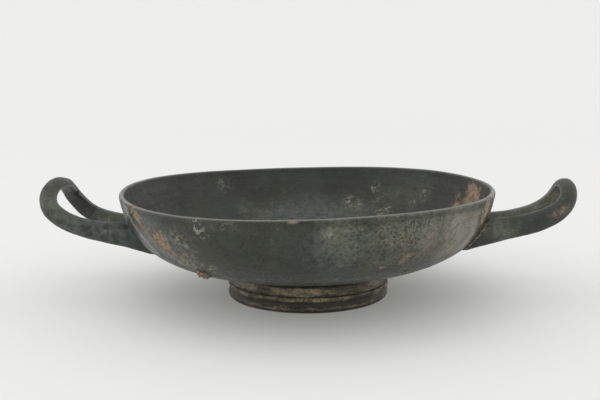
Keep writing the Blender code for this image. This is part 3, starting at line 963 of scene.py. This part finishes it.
def wornSlip():
    material = bpy.data.materials.new("wornSlip")
    material.use_nodes = True
    tree = material.node_tree
    shader = tree.nodes["Principled BSDF"]
    start = Wire(tree)
    metres = start.node("ShaderNodeTexCoord", output="Object")
    place = start.node("ShaderNodeVectorMath", {"operation": "SCALE"}, {0: metres, "Scale": 1 / mm})
    along = start.node("ShaderNodeSeparateXYZ", {}, {0: place}, "X")
    across = start.node("ShaderNodeSeparateXYZ", {}, {0: place}, "Y")
    height = start.node("ShaderNodeSeparateXYZ", {}, {0: place}, "Z")

    def mark(name):
        return start.node("ShaderNodeAttribute", {"attribute_name": name}, output="Fac")

    broad = grain(place, 27, 2.0)
    cloud = grain(place, 8, 4.0)
    tint = grain(place, 15, 3.0)
    mottle = grain(place, 3.2, 5.0, 0.65)
    fine = grain(place, 1.1, 3.0, 0.7)
    grit = grain(place, 0.7, 2.0, 0.6)
    scatter = grain(place, 2.1, 2.0, 0.5)
    chips = grain(place, 1.4, 3.0, 0.6)
    streaks = grain(place, 1.4, 3.0, 0.6, (0.12, 0.12, 1))
    onFoot = mark("foot")
    onHandle = mark("handle")
    wear = mark("wear")
    stain = mark("stain")

    # Slip, thicker and thinner from place to place, with traces of the turning, and painted shade low on
    # the outside
    thin = step(broad * 0.45 + cloud * 0.35 + streaks * 0.2, 0.42, 0.60)
    colour = blend(thin, slip["black"], slip["grey"])
    colour = blend(step(tint, 0.54, 0.72) * 0.6, colour, slip["brownish"])
    colour = blend(step(fine, 0.58, 0.72) * 0.30, colour, slip["wornGreen"])
    # Painted shade: the outside is darker towards the bottom, where the wall faces the shadowed floor
    colour = blend((1 - step(height, 18, 32)) * mark("outside") * 0.5, colour, slip["black"])

    # Rubbed places, with islands of black left in them
    rubbed = step(wear + (cloud - 0.5) * 0.8 + (mottle - 0.5) * 1.3 + (fine - 0.5) * 0.9, 0.22, 1.15)
    islands = step(chips * 0.75 + grit * 0.25, 0.52, 0.555) * (1 - onHandle * 0.6)
    olive = step(tint * 0.4 + mottle * 0.6, 0.45, 0.57) * (1 - onHandle * 0.7)
    wornColour = blend(olive, slip["wornGreen"], slip["wornOlive"])
    wornColour = blend(step(scatter, 0.60, 0.70) * 0.35, wornColour, slip["hazeAndSheen"])
    colour = blend(rubbed * (1 - islands * 0.9), colour, wornColour)
    colour = blend(mark("blueCast") * step(mottle, 0.38, 0.60) * 0.8, colour, slip["blue"])
    colour = blend(mark("redTint") * step(mottle, 0.47, 0.58) * 0.7, colour, slip["red"])
    stained = step(stain + (mottle - 0.5) * 1.2 + (grit - 0.5) * 2.0, 0.45, 0.85)
    colour = blend(stained * marked(stain) * 0.75, colour, slip["stain"])
    # Pale film, and painted sheen and reflection along the left edge of the bowl
    hazeAndSheen = mark("hazeAndSheen")
    hazeAndSheenShare = step(hazeAndSheen + (mottle - 0.5) * 1.6 + (grit - 0.5) * 2.4, 0.35, 0.95)
    colour = blend(hazeAndSheenShare * marked(hazeAndSheen) * 0.75, colour, slip["hazeAndSheen"])
    # Arrises and edges painted lighter: partly wear, partly a painted highlight along them
    arris = step(mark("arris") + (mottle - 0.5) * 0.8, 0.22, 0.65) * (1 - onFoot)
    colour = blend(arris * 0.85, colour, slip["wornEdgeAndHighlight"])
    belowLip = mark("belowLip")
    colour = blend(band(belowLip, 1.2, 3.2, 0.5) * mark("outside") * 0.45, colour, slip["black"])
    # The top of the lip painted lighter: partly wear, partly a painted highlight along the rim
    colour = blend((1 - step(belowLip, 0.12, 0.75)) * (mottle * 0.7 + 0.5), colour, slip["wornEdgeAndHighlight"])

    # Foot: clay rubbed through, with painted shade in its hollows, groove and bottom edge, and grime
    patches = grain(place, 5, 4.0, 0.65, (0.4, 0.4, 1.3))
    layers = grain(place, 2.4, 4.0, 0.7, (0.3, 0.3, 1.5))
    bared = layers * 0.40 + grit * 0.35 + patches * 0.25 + wear * 0.10 - stain * 0.08
    footShade = blend(step(bared, 0.47, 0.60), slip["footOlive"], slip["footTan"])
    footShade = blend(step(patches * 0.6 + grit * 0.4, 0.55, 0.60) * 0.6, footShade, slip["footPink"])
    # Painted shade: the hollow, the groove and the bottom edge of the foot are darkened where shade falls,
    # less where clay is bared
    hollowShade = band(height, 2.7, 5.1, 0.4) * 0.8 + band(height, 7.35, 7.85, 0.2) * 0.9
    hollowShade = hollowShade + (1 - step(height, 1.1, 1.8)) * 0.9
    soil = grain(place, 3.3, 5.0, 0.72, (0.3, 0.3, 1.3))
    grime = step(soil * 0.65 + grit * 0.35 + stain * 0.08 - wear * 0.05, 0.515, 0.55) * 0.85
    leftInHollows = 1 - step(bared, 0.52, 0.60) * 0.7
    shadeAndGrime = hollowShade * leftInHollows
    shadeAndGrime = shadeAndGrime + grime * (1 - shadeAndGrime)
    wisps = grain(place, 1.5, 4.0, 0.72, (0.25, 0.25, 1.3))
    pits = step(wisps * 0.4 + fine * 0.35 + grit * 0.25, 0.485, 0.53)
    footShade = blend(pits * 0.7, footShade, slip["darkAndPaintedShade"])
    footShade = blend(shadeAndGrime, footShade, slip["darkAndPaintedShade"])
    colour = blend(onFoot * (1 - step(height + mottle * 2.0, 12.8, 13.8)), colour, footShade)

    # Clay laid bare, also along one join with its crack, pale specks and crusts
    join = mark("seam") * step(along, 5, 20) * (1 - step(across, -24, -14))
    bareJoin = step(join + (mottle - 0.5) * 1.6 + (grit - 0.5) * 1.6, 0.52, 0.72)
    laidBare = mark("bareClay")
    bareSpots = step(laidBare + (mottle - 0.5) * 1.7 + (grit - 0.5) * 2.6, 0.45, 0.66)
    bare = start.maths("MAXIMUM", bareSpots * marked(laidBare), bareJoin)
    clayShade = blend(step(cloud * 0.4 + mottle * 0.6, 0.44, 0.56), slip["clayOrange"], slip["clayTan"])
    clayShade = blend(step(fine * 0.5 + grit * 0.5, 0.50, 0.57) * 0.75, clayShade, slip["clayDirt"])
    colour = blend(bare, colour, clayShade)
    specks = mark("paleSpeck") * step(scatter * 0.5 + grit * 0.5, 0.515, 0.565)
    speckShade = blend(step(cloud, 0.44, 0.54), slip["paleOlive"], slip["pale"])
    colour = blend(specks * 0.95, colour, speckShade)
    strays = step(scatter, 0.75, 0.78)
    colour = blend(strays * 0.4, colour, slip["pink"])
    colour = blend(mark("paleDash"), colour, slip["clayTan"])
    crusted = step(mark("crust") + (fine - 0.5) * 0.6, 0.18, 0.34)
    crustShade = blend(step(fine, 0.42, 0.6), slip["crustBrown"], slip["crustPink"])
    colour = blend(crusted, colour, crustShade)
    cracked = step(join + (mottle - 0.5) * 0.8, 0.74, 0.86)
    colour = blend(start.maths("MAXIMUM", mark("darkLine"), cracked), colour, slip["darkAndPaintedShade"])
    tree.links.new(colour.socket, shader.inputs["Base Color"])

    dull = step(cloud * 0.5 + mottle * 0.5, 0.40, 0.62)
    roughness = dull * (slip["dullRoughness"] - slip["glossyRoughness"]) + slip["glossyRoughness"]
    roughness = roughness + (rubbed * 0.8 + onFoot) * (slip["wornRoughness"] - slip["dullRoughness"])
    dulling = mark("inside") * slip["insideDulling"] + onHandle * slip["handleDulling"]
    roughness = roughness + dulling * (1 - rubbed)
    matt = start.maths("MAXIMUM", bare, crusted)
    roughness = roughness * (1 - matt) + matt * slip["clayRoughness"]
    tree.links.new(roughness.socket, shader.inputs["Roughness"])

    # Fine relief of the surface, in millimetres
    tooth = fine * 0.05 + mottle * 0.10 + streaks * 0.05 + cloud * 0.12
    worn = bare * -0.10 + rubbed * -0.03 + specks * 0.08 + crusted * fine * 0.25
    worn = worn + shadeAndGrime * -0.06 + cracked * -0.2
    bump = start.node("ShaderNodeBump", {}, {"Height": tooth + worn, "Distance": mm, "Strength": 1.0})
    tree.links.new(bump.socket, shader.inputs["Normal"])
    shader.inputs["Specular IOR Level"].default_value = 0.5
    return material


cup.data.materials.append(wornSlip())
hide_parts("kylix_cup")
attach(cup, "root")
print("slip and wear coloured")

studio = {
    "floorReach": 1000,
    "wallCurve": 1100,
    "wallSteps": 24,
    "floorShade": 0.80,
    # Painted glow of the floor, which is no lamp; its yellowish tint stands in for shade thrown back by the
    # cup
    "glowShade": (1.0, 1.0, 0.9),
    "glowNear": 0.12,  # light that the paper gives back by itself, by the cup and out at the wall
    "glowFar": 0.168,
    "skyShade": (1.0, 1.0, 0.985),
    "skyStrength": 0.79,
}


def studioFloor():
    reach, bend = studio["floorReach"], studio["wallCurve"]
    curve = arcPoints((reach, bend), bend, -math.pi / 2, 0, studio["wallSteps"])
    bm = turned([Vector((0, 0)), Vector((reach / 2, 0))] + curve)
    bmesh.ops.scale(bm, verts=bm.verts, vec=(mm, mm, mm))
    for face in bm.faces:
        face.smooth = True
        if face.normal.z < 0:
            face.normal_flip()
    mesh = bpy.data.meshes.new("studioFloor")
    bm.to_mesh(mesh)
    bm.free()
    floor = bpy.data.objects.new("studioFloor", mesh)
    bpy.context.scene.collection.objects.link(floor)
    material = bpy.data.materials.new("paleFloor")
    material.use_nodes = True
    shader = material.node_tree.nodes["Principled BSDF"]
    shader.inputs["Base Color"].default_value = (*[studio["floorShade"]] * 3, 1)
    shader.inputs["Roughness"].default_value = 0.9
    shader.inputs["Specular IOR Level"].default_value = 0.1
    shader.inputs["Emission Strength"].default_value = 1.0
    place = Wire(material.node_tree).node("ShaderNodeTexCoord", output="Object")
    away = place.node("ShaderNodeVectorMath", {"operation": "LENGTH"}, {0: place}, "Value")
    # Painted glow: the floor emits light by itself, brighter out at the wall than by the cup, which lifts
    # the shadow under the cup and lights the wall
    near = [studio["glowNear"] * shade for shade in studio["glowShade"]]
    glow = blend(step(away, 0.3, 1.6), near, [studio["glowFar"]] * 3)
    material.node_tree.links.new(glow.socket, shader.inputs["Emission Color"])
    mesh.materials.append(material)
    return floor


softboxes = (
    {"place": (-0.15, 0.05, 1.3), "size": 1.0, "power": 1.6},
    {"place": (-1.2, -0.1, 0.6), "size": 0.9, "power": 1.6},
    {"place": (1.2, -0.1, 0.6), "size": 0.9, "power": 1.2},
)


def softbox(number, box):
    light = bpy.data.lights.new("softbox" + str(number), "AREA")
    light.shape = "SQUARE"
    light.size = box["size"]
    light.energy = box["power"]
    lamp = bpy.data.objects.new(light.name, light)
    lamp.location = box["place"]
    lamp.rotation_euler = (-Vector(box["place"])).to_track_quat("-Z", "Y").to_euler()
    bpy.context.scene.collection.objects.link(lamp)


def softSky():
    world = bpy.data.worlds.new("studioSky")
    world.use_nodes = True
    background = world.node_tree.nodes["Background"]
    background.inputs["Color"].default_value = (*studio["skyShade"], 1)
    background.inputs["Strength"].default_value = studio["skyStrength"]
    bpy.context.scene.world = world


view = {
    "lens": 54.56,
    "place": (0, -0.4462, 0.1199),
    "turn": (80.7065, 0.3166, 0.4352),
}


def frontCamera():
    camera = bpy.data.objects.new("camera", bpy.data.cameras.new("camera"))
    camera.data.lens = view["lens"]
    camera.data.sensor_width = 36
    camera.data.clip_start = 0.01
    camera.location = view["place"]
    camera.rotation_euler = [math.radians(angle) for angle in view["turn"]]
    bpy.context.scene.collection.objects.link(camera)
    bpy.context.scene.camera = camera


studioFloor()
for number, box in enumerate(softboxes):
    softbox(number, box)
softSky()
frontCamera()
bpy.context.scene.view_settings.view_transform = "Standard"
print("studio set")
